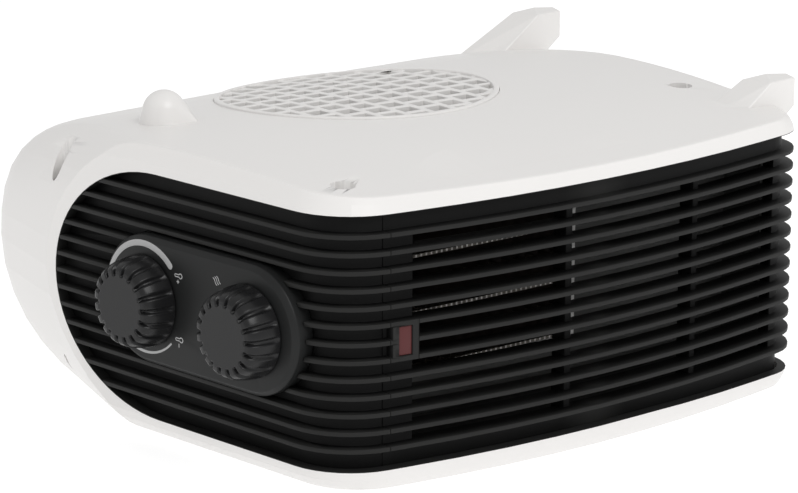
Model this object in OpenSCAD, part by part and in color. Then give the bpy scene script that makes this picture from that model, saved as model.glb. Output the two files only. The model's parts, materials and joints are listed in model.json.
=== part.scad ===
// Fan heater, lying on its flat underside with its three feet up.
// +Z is up, the outlet grille faces -Y, the control panel faces -X and the base end faces +X.
// The origin lies on the underside, below the middle of the heater.

/* [Plan outline] */
// Distance between the two front corners, along the outlet
front_w = 233; // [230:1:236]
// Distance from the front corners back to the rear edge
body_d = 234; // [229:1:239]
// Length of the control face from the front corner to the left crease
control_len = 161; // [159:0.5:164]
// Angle by which the control face leans outward towards the back
control_lean = 5.7; // [5:0.1:6.5]
// Angle by which each half of the bowed outlet leans forward
outlet_bow = 9.75; // [9:0.25:10.5]
// Angle by which the base end leans outward towards the back
end_lean = 6.4; // [5.6:0.1:7]
// Angle by which the left end leans inward towards the back
left_lean = 12.3; // [11.5:0.1:13]
// Angle by which the rear edge leans forward towards the left
rear_lean = 7; // [6:0.25:8]
// Radius of the corner between control face and outlet
corner_r = 28; // [26:0.5:29]
// Length of the straight part between that corner and the bow
corner_flat = 7.7; // [6.2:0.5:11.7]
// Radius of the front corner at the base end
base_corner_r = 20; // [18:0.5:22]
// Radius of the rear corner at the base end
rear_corner_r = 50; // [46:1:54]
// Radius of the rear corner at the left end
left_corner_r = 21; // [19:0.5:23]

/* [Shells] */
// Height of the plane where the two shells meet
parting_z = 55.6; // [55:0.1:56.2]
// Height of the crown of the top face
crown_z = 113.5; // [113:0.25:115]
// Radius of the crown from front to back
crown_r = 760; // [720:10:800]
// Distance of the crest of the crown behind the front corners
crest_d = 81; // [76:1:86]
// Distance over which the crown falls towards the base end
fall_len = 74; // [70:1:78]
// Radius of that fall
fall_r = 3600; // [3400:50:3800]
// Height of the opening for the black front
aperture_h = 94.8; // [94:0.2:96]
// Drop of the opening's lower edge towards the base end
flare = 2; // [1.2:0.1:2.2]
// Distance over which the rear rolls over to the top face
rear_roll = 95; // [92:1:98]
// Fullness of that roll-over, of which 2 is an ellipse
rear_full = 4; // [3.6:0.1:4.2]
// Distance over which the rear and the left end roll under to the underside
under_roll = 56; // [53:0.5:59]
// Fullness of the left end's roll-under
under_full = 1.75; // [1.6:0.05:2]
// Distance over which the left end rolls over, along the control face
nose_roll = 65.3; // [64.5:0.1:66]
// Angle by which the left end leans in more at the top
left_turn = 4; // [3:0.25:5]
// Angle by which the left end leans in more at the underside
under_turn = 6; // [4:0.5:8]
// Round of the edges at the base end
end_round = 7; // [6:0.5:8]
// Distance that the bright front band leans back
band_lean = 2; // [1.5:0.25:2.5]
// Round on the upper edge of the front band
band_round = 1.2; // [0.8:0.1:1.6]
// Round on the lower edge of the front band
bottom_round = 5.4; // [4.5:0.3:6]
// Round on the lower edge below the control face
control_round = 7; // [6:0.25:8]
// Wall thickness of the two shells
wall = 2.5; // [2.2:0.1:2.8]
// Depth of the lip around the front opening
lip_d = 4.6; // [4.4:0.1:4.7]

/* [Black front] */
// Distance between neighbouring ribs
rib_pitch = 6.6; // [6.5:0.05:6.7]
// Number of ribs
rib_count = 13; // [11:2:13]
// Thickness of a rib
rib_t = 1.7; // [1.6:0.1:2.2]
// Depth of the ribs in front of their panel
rib_d = 4.8; // [4.8:0.1:5.4]
// Depth of the free ribs of the outlet grille
free_rib_d = 9; // [8:0.5:10]
// Thickness of the panel behind the ribs
panel_t = 2.2; // [1.8:0.1:2.4]
// Width of the panel edge hidden behind the shell lip
panel_edge = 2.2; // [1.8:0.1:2.4]
// Distance from the front corner to the seam between the two black parts
seam_x = 22; // [21.5:0.25:23]
// Length of the rounded left end of the opening
nose_len = 59.4; // [58.4:0.2:60]
// Clearance between the opening and the black parts
aperture_gap = 0.3; // [0.2:0.05:0.5]
// How far the grille wraps round the corner at the base end
wrap_len = 24; // [22:0.5:26]
// Width of a vertical strut behind the grille
strut_w = 3; // [2.4:0.2:4]
// Distance between neighbouring struts
strut_step = 66; // [60:1:70]
// Distance from the seam to the first strut
strut_x = 81; // [76:1:86]

/* [Controls] */
// Distance from the front corner to the selector spindle
selector_x = 40.9; // [40:0.1:42]
// Distance between the two spindles
knob_step = 56.8; // [54:0.2:60]
// Width of the raised control plate
plate_w = 49; // [47:0.5:50]
// Height of the control plate above the rib edges
plate_rise = 4; // [3.5:0.25:5]
// Bevel around the control plate
plate_bevel = 1.8; // [1.2:0.1:2.2]
// Wall thickness of the control plate
plate_wall = 2; // [1.6:0.1:2.4]
// Diameter of a knob at its base
knob_d = 36; // [34:0.5:37]
// Diameter of the flat face of a knob
knob_face_d = 22; // [20:0.5:24]
// Height of a knob
knob_h = 14; // [13:0.25:15]
// Number of finger grooves on a knob
knob_grooves = 18; // [16:1:22]
// Running gap between knob and plate
knob_gap = 0.5; // [0.3:0.1:0.8]
// Diameter of a control spindle
spindle_d = 6; // [5:0.25:6.5]
// Radial running clearance of a turning shaft
shaft_fit = 0.05; // [0.02:0.01:0.08]
// Width of the thermostat's body
thermostat_w = 26; // [24:0.5:28]
// Width and height of the selector switch
selector_w = 24; // [22:0.5:25]
// Depth of both controls behind the panel
control_d = 16; // [14:0.5:17]
// Width of the pilot lamp window
lamp_w = 5.5; // [5:0.1:5.6]
// Height of the pilot lamp window
lamp_h = 11; // [10.4:0.1:11.4]
// Width of the frame around the lamp window
lamp_frame = 2.6; // [2.2:0.1:2.8]

/* [Air intake] */
// Radius of the round intake grille
intake_r = 56.4; // [55:0.2:57]
// Distance of the fan axis right of the left front corner
fan_x = 111.2; // [110:0.2:112]
// Distance of the fan axis in front of the rear edge
fan_back = 105.1; // [104.1:0.2:107.1]
// Distance between neighbouring intake bars
intake_pitch = 10.4; // [10:0.2:11]
// Width of an intake bar
intake_bar = 2.6; // [2.2:0.1:3]
// Angle by which the intake bars lean towards the base end at the back
intake_turn = 3.4; // [0:0.2:5]
// Width of the intake rim
intake_rim = 2.2; // [1.8:0.1:2.8]
// Height of the intake rim above the top face
intake_rise = 0.8; // [0.4:0.1:1.2]
// Depth of the intake bars
intake_depth = 4.5; // [4:0.25:5]

/* [Feet] */
// Height of the round foot above the underside
nub_z = 124; // [123:0.2:126]
// Radius of the round foot
nub_r = 8.5; // [8:0.25:9]
// Distance of the round foot from the left crease towards the base end
nub_x = 38; // [36:0.5:40]
// Height of the two wedge feet above the underside
fin_z = 121; // [120:0.25:122]
// Reach of the wedge feet beyond the base end
fin_reach = 5.8; // [5:0.1:6.6]
// Distance of the first wedge foot behind the front corner
fin_d = 16; // [15:0.5:18]
// Distance between the front faces of the wedge feet
fin_step = 160; // [156:0.5:163]
// Thickness of a wedge foot at its root
fin_w = 13; // [11:0.5:15]
// Round on the edges of the wedge feet
fin_edge = 0.8; // [0.6:0.1:1]

/* [Fan] */
// Outer radius of the impeller
impeller_r = 44; // [42:0.5:45]
// Height of the impeller
impeller_h = 46; // [43:0.5:47]
// Number of impeller blades
impeller_blades = 30; // [24:1:34]
// Radius of the motor shaft
shaft_r = 2.5; // [2:0.1:3]
// Wall thickness of the fan housing
scroll_wall = 2; // [1.6:0.1:2.2]
// Height of the fan housing's underside
scroll_z = 36; // [35.5:0.25:37]
// Height of the fan housing with its cover
scroll_h = 58; // [57:0.25:59]
// Least gap between impeller and fan housing
scroll_gap = 6; // [5.5:0.25:6.5]
// Growth of the fan housing's radius up to its outlet
scroll_growth = 22; // [20:0.5:23]
// Thickness of the motor's core
core_h = 16; // [14:0.5:17]
// Radius of the motor's rotor
rotor_r = 12; // [11:0.25:13]
// Width of the motor's core
core_w = 62; // [58:1:66]
// Depth of the window for the coil in the core
window_d = 12; // [10:0.5:13]
// Depth of the leg of the core inside the coil
leg_d = 12; // [10:0.5:14]

/* [Heater] */
// Depth of the heating element from front to back
heater_d = 14; // [12:0.5:15]
// Thickness of the mica sheets
mica_t = 1; // [0.8:0.1:1.2]
// Number of heating ribbons, one above another
ribbon_rows = 5; // [4:1:6]
// Distance between neighbouring strands of a ribbon
strand_pitch = 3; // [2.6:0.2:4]
// Thickness of a ribbon
ribbon_t = 0.5; // [0.4:0.05:0.6]

/* [Wiring] */
// Width of the terminal block
block_w = 32; // [28:1:36]
// Depth of the terminal block
block_d = 18; // [16:0.5:20]
// Height of the terminal block
block_h = 15; // [13:0.5:17]
// Radius of the cord gland where it passes the shells
gland_r = 5; // [4.5:0.25:5.5]
// Height of the cord gland's flange outside the rear
gland_out = 3; // [2.6:0.2:3.6]

/* [Hidden] */
$fn = 48;
eps = 0.01;
slip = 0.2;

// Headings of the sides, counter-clockwise
control_h = control_lean - 90;
end_h = 90 - end_lean;
rear_h = 180 + rear_lean;
left_h = 270 - left_lean;

// Points that fix the sides; the origin is below the middle of the whole heater
corner_turn = (90 - control_lean - outlet_bow) / 2;
outlet_r = (front_w / 2 / cos(outlet_bow) - corner_r * tan(corner_turn) - corner_flat)
    / tan(outlet_bow);
bow_out = front_w / 2 * tan(outlet_bow) - outlet_r * (1 / cos(outlet_bow) - 1);
right_out = (fin_d + fin_step) * tan(end_lean) + fin_reach;
left_out = control_len * sin(control_lean);
front_corner = [(left_out - right_out - front_w) / 2, (bow_out - body_d - gland_out) / 2];
base_corner = front_corner + [front_w, 0];
bow_tip = front_corner + front_w / 2 * [1, -tan(outlet_bow)];
rear_mid = front_corner + [front_w / 2, body_d];
crest_y = front_corner[1] + crest_d;
side_radii = [corner_r, outlet_r, base_corner_r, rear_corner_r, outlet_r, left_corner_r, 2];
arc_steps = [8, 8, 6, 8, 4, 6, 2];
straight_steps = [6, 1, 1, 8, 3, 2, 4];

// Front opening
aperture_r = aperture_h / 2;
nose_x = control_len - nose_roll;
flare_x = base_corner[0] - 0.4 * front_w;
panel_back = rib_d + panel_t;
rib_root = rib_d + panel_t / 2;
rib_span = (rib_count - 1) / 2 * rib_pitch;
window_r = rib_span + rib_t / 2;
seam_at = front_corner[0] + seam_x;
window_x0 = seam_at + lamp_w + 2 * lamp_frame + 1.5;
window_x1 = base_corner[0] - base_corner_r * 0.8;

// Controls
thermostat_x = selector_x + knob_step;
spindle_r = spindle_d / 2;
spindle_in = 10;
spindle_out = plate_rise + knob_gap + knob_h - 4;
bush_r = spindle_r + 2;
bush_out = 3;
lamp_x = (seam_x + lamp_frame + lamp_w / 2 + 0.8) / cos(outlet_bow);

// Fan
fan_at = [front_corner[0] + fan_x, rear_mid[1] - fan_back];
scroll_r0 = impeller_r + scroll_gap;
tongue_a = -80;
duct_x0 = fan_at[0] - scroll_r0 - scroll_growth;
duct_x1 = fan_at[0] + scroll_r0 * cos(tongue_a);
duct_y = front_corner[1] + 10.5;
duct_z0 = scroll_z + scroll_wall;
duct_z1 = scroll_z + scroll_h - scroll_wall;
impeller_z = duct_z0 + 5;
hub_h = 14;
plate_t = 1.5;
core_z = scroll_z - 8 - core_h;
bracket_x = core_w / 2 - 6;
core_front = rotor_r + 7;
core_back = core_front + window_d + leg_d;
pillar_h = scroll_z - core_z - core_h - plate_t;
guide_y = front_corner[1] + 26;
ribbon_h = (duct_z1 - duct_z0 - 2 * slip - mica_t) / ribbon_rows - mica_t;

// Screws that join the shells, and the posts that carry the fan housing
screw_r = 1.75;
head_r = 3.4;
well_r = 4.6;
well_wall = 1.8;
well_z = parting_z + 14;
wells = [front_corner + [15.5, 15.5], base_corner + [-15, 56],
    [base_corner[0] - 24, rear_mid[1] - 38],
    front_corner - (control_len - 1.3) * unit(control_h) + 9.1 * inward(control_h)];
post_r = 4.5;
posts = [fan_at + [-impeller_r - 4, -20], fan_at + [impeller_r, -20],
    fan_at + [1 - core_w / 2, core_back + post_r + 2.5]];
gland_at = rear_mid + [50, 0];

function unit(a) = [cos(a), sin(a)];
function inward(a) = [-sin(a), cos(a)];
function clamp01(v) = min(1, max(0, v));
function lift(p, z) = [p[0], p[1], z];

// Where the line through p with heading a meets the line through q with heading b
function meet(p, a, q, b) = p + unit(a) * cross(q - p, unit(b)) / cross(unit(a), unit(b));

// Points of the arc that rounds corner v between headings a and b
function corner_arc(v, a, b, r, n) =
    let (centre = v - r * tan((b - a) / 2) * unit(a) + r * inward(a))
    [for (i = [0:n]) centre - r * inward(a + (b - a) * i / n)];

// Rounded outline of the sides, each a point and a heading, with the corners' radii reduced
function outline(sides, front, other) =
    let (n = len(sides))
    let (arcs = [for (i = [0:n - 1])
        let (after = sides[(i + 1) % n])
        let (turned = i < n - 1 ? after[1] : after[1] + 360)
        corner_arc(meet(sides[i][0], sides[i][1], after[0], after[1]), sides[i][1], turned,
            max(side_radii[i] - (i < 3 ? front : other), 0.4), arc_steps[i])])
    [for (i = [0:n - 1])
        let (start = arcs[i][arc_steps[i]])
        let (end = arcs[(i + 1) % n][0])
        let (steps = straight_steps[(i + 1) % n])
        each concat(arcs[i],
            steps < 2 ? [] : [for (k = [1:steps - 1]) start + (end - start) * k / steps])];

// Sides moved inward: control face, outlet, base end, and the rest by t. The rear is drawn in by
// rear, and the left end by left along the control face, with its heading turned by turn
function body_sides(control, front, end, t, rear = 0, left = 0, turn = 0) = [
    [front_corner + control * inward(control_h), control_h],
    [front_corner + front * inward(-outlet_bow), -outlet_bow],
    [bow_tip + front * inward(outlet_bow), outlet_bow],
    [base_corner + end * inward(end_h), end_h],
    [rear_mid + (t + rear) * inward(180), 180],
    [rear_mid + (t + rear) * inward(rear_h), rear_h],
    [front_corner - (control_len - left) * unit(control_h) + t * inward(left_h - turn),
        left_h - turn]];

function body_outline(inset) =
    outline(body_sides(inset, inset, inset, inset), inset, inset);
function crown_at(p) = crown_z - crown_r + sqrt(pow(crown_r, 2) - pow(p[1] - crest_y, 2))
    - pow(max(0, p[0] - base_corner[0] + fall_len), 2) / (2 * fall_r);

// Share of the front band that lies below height h above the parting plane
function band_share(h, full) = clamp01((h - aperture_r) / (full - aperture_r));
function edge_share(a, from) = pow(clamp01((a - from) / (90 - from)), 2);
function drawn_in(s, full) = 1 - pow(1 - pow(s, full), 1 / full);
function round_in(share, t) = t + (end_round - t) * (1 - sqrt(1 - pow(share, 2)));

// Rings of the half shells at roll-over angle a; t is the wall and front the front wall
function upper_ring(a, t, front) =
    let (full = crown_at(front_corner) - parting_z)
    let (share = band_share(sin(a) * full, full))
    let (lean = t > 0 ? 0 : band_lean * clamp01(share * 1.3) + band_round * edge_share(a, 77.5))
    let (sides = body_sides(front + lean, front + lean, round_in(share, t), t,
        (rear_roll - t) * drawn_in(sin(a), rear_full), nose_roll * drawn_in(sin(a), 2),
        left_turn * drawn_in(sin(a), 2)))
    [for (p = outline(sides, front + lean, t))
        lift(p, parting_z + (crown_at(p) - t - parting_z) * sin(a))];

function lower_ring(a, t, front) =
    let (share = band_share(sin(a) * parting_z, parting_z))
    let (lean = band_lean * clamp01(share * 1.3))
    let (round = t > 0 ? [0, 0] : [control_round * edge_share(a, 62) + lean,
        bottom_round * edge_share(a, 77.5) + lean])
    let (sides = body_sides(front + round[0], front + round[1], round_in(share, t), t,
        (under_roll - t) * drawn_in(sin(a), 2), nose_roll * drawn_in(sin(a), under_full),
        under_turn * drawn_in(sin(a), under_full)))
    [for (p = outline(sides, front + round[1], t))
        lift(p, parting_z - (parting_z - t) * sin(a))];

// Ring of the crowned top, drawn in towards the crest
function crown_ring(share, t, front) =
    [for (p = upper_ring(90, t, front))
        let (y = crest_y + (p[1] - crest_y) * share)
        [p[0] * share, y, crown_at([p[0] * share, y]) - t]];

function shifted(ring, dz) = [for (p = ring) lift(p, p[2] + dz)];
function middle(ring) = [for (p = ring) 1] * ring / len(ring);

// Closed solid through a stack of rings, lowest first
module loft(rings) {
    n = len(rings[0]);
    m = len(rings);
    points = concat([for (ring = rings) each ring], [middle(rings[0]), middle(rings[m - 1])]);
    sides = [for (k = [0:m - 2], i = [0:n - 1])
        let (a = k * n + i)
        let (b = k * n + (i + 1) % n)
        each [[a, a + n, b + n], [a, b + n, b]]];
    floor_fan = [for (i = [0:n - 1]) [m * n, i, (i + 1) % n]];
    top_fan = [for (i = [0:n - 1]) [m * n + 1, (m - 1) * n + (i + 1) % n, (m - 1) * n + i]];
    polyhedron(points, concat(sides, floor_fan, top_fan), convexity = 8);
}

module upper_solid() {
    sides = [for (a = [0, 12, 24, 36, 47, 56, 62.2, 67, 72, 77.5, 84, 87.5, 90]) upper_ring(a, 0, 0)];
    loft(concat(sides, [for (s = [0.82, 0.64, 0.46, 0.28, 0.1]) crown_ring(s, 0, 0)]));
}

module upper_space() {
    sides = [for (a = [0, 20, 40, 56, 66, 76, 82, 86, 90]) upper_ring(a, wall, lip_d)];
    loft(concat([shifted(sides[0], -1)], sides,
        [for (s = [0.75, 0.5, 0.25]) crown_ring(s, wall, lip_d)]));
}

module lower_solid() {
    angles = [90, 85, 80, 74.4, 66, 58.5, 47, 36, 24, 12, 0];
    loft([for (a = angles) lower_ring(a, 0, 0)]);
}

module lower_space() {
    sides = [for (a = [90, 76, 66, 56, 40, 20, 0]) lower_ring(a, wall, lip_d)];
    loft(concat(sides, [shifted(sides[6], 1)]));
}

// Places on the control face and on the left half of the outlet; Z points out of the face
module on_control(x) {
    translate(lift(front_corner - x * unit(control_h), parting_z)) rotate([90, 0, control_h])
        children();
}

module on_outlet(x) {
    translate(lift(front_corner + x * unit(-outlet_bow), parting_z)) rotate([90, 0, -outlet_bow])
        children();
}

// Band between two insets of the plan outline
module strip(outer, inner) {
    difference() {
        polygon(body_outline(outer));
        polygon(body_outline(inner));
    }
}

// Space of the front opening, narrower by gap all round
module front_opening(gap, depth) {
    r = aperture_r - gap;
    nose = [for (a = [90:5:270]) [(nose_len - gap) * cos(a) - nose_x, r * sin(a)]];
    x0 = front_corner[0] - 30;
    x1 = base_corner[0] + 60;
    on_control(0) translate([0, 0, -depth]) linear_extrude(depth + 3)
        polygon(concat(nose, [[-corner_r * 0.7, -r], [-corner_r * 0.7, r]]));
    intersection() {
        linear_extrude(crown_z) strip(-3, depth);
        translate([0, front_corner[1] + wrap_len - gap, parting_z]) rotate([90, 0, 0])
            linear_extrude(60 + wrap_len)
                polygon([[x0, -r], [flare_x, -r], [base_corner[0], -r - flare], [x1, -r - flare],
                    [x1, r], [x0, r]]);
    }
}

// Zone of the black parts between two depths, reaching past the opening by edge
module front_zone(outer, inner, edge) {
    intersection() {
        linear_extrude(crown_z) strip(outer, inner);
        front_opening(-edge, inner + 1);
    }
}

module all_ribs(depth) {
    for (k = [0:rib_count - 1])
        translate([0, 0, parting_z - rib_span + k * rib_pitch - rib_t / 2])
            linear_extrude(rib_t) strip(0, depth);
}

// Half space in front, left or right of the seam between the two black parts
module seam_side(right) {
    reach = front_w + 60;
    x = right ? seam_at + slip / 2 : seam_at - slip / 2 - reach;
    translate([x, front_corner[1] - 50, 0]) cube([reach, body_d + 50, crown_z]);
}

module front_panel(right) {
    intersection() {
        front_zone(rib_d, panel_back, panel_edge);
        seam_side(right);
    }
}

module stadium(r) {
    circle(r);
    translate([knob_step, 0]) circle(r);
    translate([0, -r]) square([knob_step, 2 * r]);
}

// Wedge foot on the edge of the base end, as a blend of round corner points
module wedge_foot(d) {
    x = fin_reach - fin_edge;
    z = fin_z - fin_edge;
    near = [[-30, 0, 99], [-6, 0, z - 1.8], [x, 0, z - 1], [x, 0, 109], [-2, 0, 103]];
    far = [[-42, fin_w, 99], [-10, fin_w - 1, z - 2.4], [-2, 8, z - 0.4], [x, 4.5, z - 0.4],
        [x, 4.5, 109], [-2, fin_w, 103]];
    translate(lift(base_corner + d * unit(end_h), 0)) rotate([0, 0, -end_lean]) hull()
        for (p = concat(near, far)) translate(p) sphere(fin_edge, $fn = 12);
}

// Round foot with a tail towards the front
module round_foot() {
    at = front_corner + [nub_x - left_out, 134];
    translate(lift(at, 0)) hull() {
        translate([0, 0, nub_z - nub_r]) sphere(nub_r, $fn = 32);
        translate([0, 0, crown_z - 4]) cylinder(r = nub_r + 1.5, h = 1, $fn = 32);
        translate([9, -10, crown_z - 4]) cylinder(r = 1, h = 1, $fn = 12);
    }
}

// Shallow finger scoop behind the front edge
module scoop() {
    scoop_r = 700;
    tilt = 8.6;
    at = front_corner + [93, 34.5];
    intersection() {
        translate(lift(at, crown_at(at))) rotate([90 + tilt, 0, 0])
            translate([0, scoop_r, -10]) cylinder(r = scoop_r, h = 60, $fn = 720);
        translate(lift(at + [0, 388], 80)) cylinder(r = 420, h = 60, $fn = 360);
    }
}

module upper_shell() {
    color("whitesmoke") difference() {
        union() {
            upper_solid();
            round_foot();
            wedge_foot(fin_d);
            wedge_foot(fin_d + fin_step);
        }
        difference() {
            upper_space();
            difference() {
                for (p = wells) translate(lift(p, 0)) cylinder(r = well_r + well_wall, h = 2 * crown_z);
                front_zone(-3, panel_back + slip, panel_edge + slip);
            }
            translate(lift(front_corner + [30, 6], crown_z - 3 * wall)) cube([128, 32, 20]);
        }
        front_opening(0, lip_d + 1);
        scoop();
        translate(lift(fan_at, parting_z)) cylinder(r = intake_r + slip, h = crown_z);
        for (p = wells) {
            translate(lift(p, well_z)) cylinder(r = well_r, h = crown_z);
            translate(lift(p, parting_z - 1)) cylinder(r = screw_r + slip, h = crown_z);
        }
        translate(lift(gland_at, parting_z)) rotate([90, 0, 0])
            cylinder(r = gland_r + slip, h = 20, center = true);
    }
}

module lower_shell() {
    color("whitesmoke") difference() {
        lower_solid();
        difference() {
            lower_space();
            difference() {
                for (p = wells) translate(lift(p, 0)) cylinder(r = well_r + well_wall, h = parting_z);
                front_zone(-3, panel_back + slip, panel_edge + slip);
            }
            for (p = posts) translate(lift(p, 0)) cylinder(r = post_r, h = scroll_z);
        }
        front_opening(0, lip_d + 1);
        for (p = wells) translate(lift(p, wall + 4)) cylinder(r = screw_r + eps, h = parting_z);
        translate(lift(gland_at, parting_z)) rotate([90, 0, 0])
            cylinder(r = gland_r + slip, h = 20, center = true);
    }
}

// Band of the crown between two heights above it
module crown_band(low, high) {
    translate([fan_at[0], crest_y, crown_z - crown_r]) rotate([0, 90, 0]) difference() {
        cylinder(r = crown_r + high, h = 3 * intake_r, center = true, $fn = 720);
        cylinder(r = crown_r + low, h = 4 * intake_r, center = true, $fn = 720);
    }
}

// Long bars from front to back, with staggered cross bars between them
module intake_bars() {
    count = ceil(intake_r / intake_pitch);
    rotate([0, 0, -intake_turn]) translate([0, 0, crown_z - 25]) for (k = [-count:count]) {
        translate([k * intake_pitch, 0, 0]) cube([intake_bar, 2 * intake_r, 50], center = true);
        for (j = [-count:count])
            translate([(k + 0.5) * intake_pitch, (j + abs(k % 2) / 2) * intake_pitch, 0])
                cube([intake_pitch - intake_bar + 2 * eps, intake_bar, 50], center = true);
    }
}

module intake_grille() {
    flange_r = intake_r + 3;
    flange_drop = (crown_z - parting_z)
        * drawn_in(1 - (fan_back - flange_r) / rear_roll, rear_full);
    color("whitesmoke") {
        intersection() {
            crown_band(-intake_depth, 0);
            translate(lift(fan_at, 0)) intersection() {
                intake_bars();
                cylinder(r = intake_r - intake_rim / 2, h = 2 * crown_z);
            }
        }
        intersection() {
            crown_band(-intake_depth - 1.5, intake_rise);
            translate(lift(fan_at, 0)) difference() {
                cylinder(r = intake_r, h = 2 * crown_z);
                cylinder(r = intake_r - intake_rim, h = 5 * crown_z, center = true);
            }
        }
        intersection() {
            crown_band(-intake_depth - 1.5, -wall - 0.9 - flange_drop);
            translate(lift(fan_at, 0)) difference() {
                cylinder(r = flange_r, h = 2 * crown_z);
                cylinder(r = intake_r - eps, h = 5 * crown_z, center = true);
            }
        }
    }
}

module control_fascia() {
    color([0.08, 0.08, 0.08]) difference() {
        union() {
            front_panel(false);
            intersection() {
                all_ribs(rib_root);
                front_opening(aperture_gap, rib_root + 1);
                seam_side(false);
            }
        }
        on_control(thermostat_x) translate([0, 0, -rib_d]) linear_extrude(2 * rib_d)
            stadium(plate_w / 2 + aperture_gap);
        for (x = [selector_x, thermostat_x]) on_control(x)
            cylinder(r = bush_r + slip, h = 4 * panel_back, center = true);
    }
}

module outlet_grille() {
    color([0.08, 0.08, 0.08]) difference() {
        union() {
            difference() {
                front_panel(true);
                translate([window_x0, front_corner[1] - 50, parting_z - window_r])
                    cube([window_x1 - window_x0, 50 + corner_r, 2 * window_r]);
            }
            intersection() {
                union() {
                    all_ribs(rib_root);
                    intersection() {
                        all_ribs(free_rib_d);
                        translate([window_x0 - eps, front_corner[1] - 50, 0])
                            cube([window_x1 - window_x0, 50 + corner_r, crown_z]);
                    }
                }
                front_opening(aperture_gap, free_rib_d + 1);
                seam_side(true);
            }
            intersection() {
                translate([0, 0, parting_z - window_r - 0.9]) linear_extrude(2 * window_r + 1.8)
                    strip(rib_d, free_rib_d + 3);
                for (k = [0:1]) translate([seam_at + strut_x + k * strut_step, front_corner[1], 0])
                    translate([-strut_w / 2, -50, 0]) cube([strut_w, 50 + corner_r, crown_z]);
            }
            on_outlet(lamp_x) translate([0, 0, -panel_back / 2])
                cube([lamp_w + 2 * lamp_frame, 2 * rib_pitch + rib_t, panel_back], center = true);
        }
        on_outlet(lamp_x) cube([lamp_w, lamp_h, 4 * panel_back], center = true);
    }
}

module plate_bevel_ring() {
    r = plate_w / 2;
    cylinder(r1 = r, r2 = r - plate_bevel, h = plate_bevel);
    translate([knob_step, 0, 0]) cylinder(r1 = r, r2 = r - plate_bevel, h = plate_bevel);
    rotate([90, 0, 90]) linear_extrude(knob_step) polygon([[-r, 0], [r, 0],
        [r - plate_bevel, plate_bevel], [plate_bevel - r, plate_bevel]]);
}

module control_plate() {
    color([0.16, 0.16, 0.16]) on_control(thermostat_x) difference() {
        union() {
            translate([0, 0, -rib_d]) linear_extrude(rib_d + plate_rise - plate_bevel)
                stadium(plate_w / 2);
            translate([0, 0, plate_rise - plate_bevel]) plate_bevel_ring();
        }
        translate([0, 0, -rib_d - 1]) linear_extrude(rib_d + plate_rise - plate_wall + 1)
            stadium(plate_w / 2 - plate_wall);
        for (x = [0, knob_step]) translate([x, 0, 0])
            cylinder(r = spindle_r + 1, h = 4 * rib_d, center = true);
    }
}

module knob() {
    r = knob_d / 2;
    face_r = knob_face_d / 2;
    skirt_h = 2.2;
    groove_r = 1.3;
    fall = atan((r - face_r - 0.5) / (knob_h - skirt_h));
    shoulder = [for (a = [0:15:90]) [face_r + (r - 0.8 - face_r) * pow(cos(a), 0.8),
        skirt_h + (knob_h - skirt_h) * pow(sin(a), 0.9)]];
    difference() {
        rotate_extrude($fn = 96) polygon(concat([[0, 0], [r, 0], [r, skirt_h]], shoulder,
            [[0, knob_h]]));
        for (i = [0:knob_grooves - 1]) rotate([0, 0, i * 360 / knob_grooves])
            translate([face_r + 0.6, 0, knob_h + 1]) rotate([0, 180 - fall, 0])
                cylinder(r = groove_r, h = 1.4 * knob_h, $fn = 16);
        translate([0, 0, -1]) cylinder(r = spindle_r + eps, h = knob_h - 3 + eps);
    }
}

module thermostat_knob() {
    color([0.2, 0.2, 0.2]) on_control(thermostat_x) translate([0, 0, plate_rise + knob_gap]) knob();
}

module selector_knob() {
    color([0.2, 0.2, 0.2]) on_control(selector_x) translate([0, 0, plate_rise + knob_gap]) knob();
}

module spindle() {
    translate([0, 0, -panel_back - spindle_in])
        cylinder(r = spindle_r, h = panel_back + spindle_in + spindle_out);
}

module thermostat_spindle() {
    color("silver") on_control(thermostat_x) spindle();
}

module selector_spindle() {
    color("silver") on_control(selector_x) spindle();
}

// Body and bush of a rotary control behind the panel, bored for its spindle
module control_body(w, h) {
    difference() {
        union() {
            translate([-w / 2, -h / 2, -panel_back - control_d]) cube([w, h, control_d]);
            translate([0, 0, -panel_back - eps]) cylinder(r = bush_r, h = bush_out + panel_t);
        }
        translate([0, 0, -panel_back - spindle_in - slip])
            cylinder(r = spindle_r + shaft_fit, h = 2 * panel_back + spindle_in);
    }
}

module thermostat() {
    color("tan") on_control(thermostat_x) {
        control_body(thermostat_w, 20);
        for (x = [-8, 8]) translate([x - 3, -0.4, -panel_back - control_d - 7]) cube([6, 0.8, 7 + eps]);
    }
}

module selector_switch() {
    color("dimgray") on_control(selector_x) {
        control_body(selector_w, selector_w);
        for (x = [-7, 0, 7], y = [-6, 6])
            translate([x - 2.4, y - 0.4, -panel_back - control_d - 7]) cube([4.8, 0.8, 7 + eps]);
    }
}

module pilot_lens() {
    color("darkred") on_outlet(lamp_x) translate([0, 0, -panel_back]) union() {
        translate([-lamp_w / 2 + 0.1, -lamp_h / 2 + 0.1, -slip])
            cube([lamp_w - 0.2, lamp_h - 0.2, panel_back - 0.4]);
        translate([-lamp_w / 2 - 1, -lamp_h / 2 - 1, -1 - slip / 2])
            cube([lamp_w + 2, lamp_h + 2, 1]);
    }
}

module pilot_lamp() {
    color("orange") on_outlet(lamp_x) translate([0, -4, -panel_back - 4.5])
        rotate([-90, 0, 0]) {
            cylinder(r = 3, h = 8);
            translate([0, 0, 8 - eps]) sphere(3);
            translate([-3.2, -3.2, -5]) cube([6.4, 6.4, 5 + eps]);
        }
}

// Plan of the fan housing, larger by extra all round and longer by ahead at its outlet
module scroll_plan(extra, ahead) {
    spiral = [for (a = [tongue_a:10:180])
        fan_at + (scroll_r0 + scroll_growth * (a - tongue_a) / (180 - tongue_a) + extra) * unit(a)];
    polygon(concat(spiral, [[duct_x0 - extra, duct_y - ahead], [duct_x1 + extra, duct_y - ahead]]));
}

module motor_places(z) {
    for (x = [-bracket_x, bracket_x]) translate([fan_at[0] + x, fan_at[1], z]) children();
}

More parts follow.
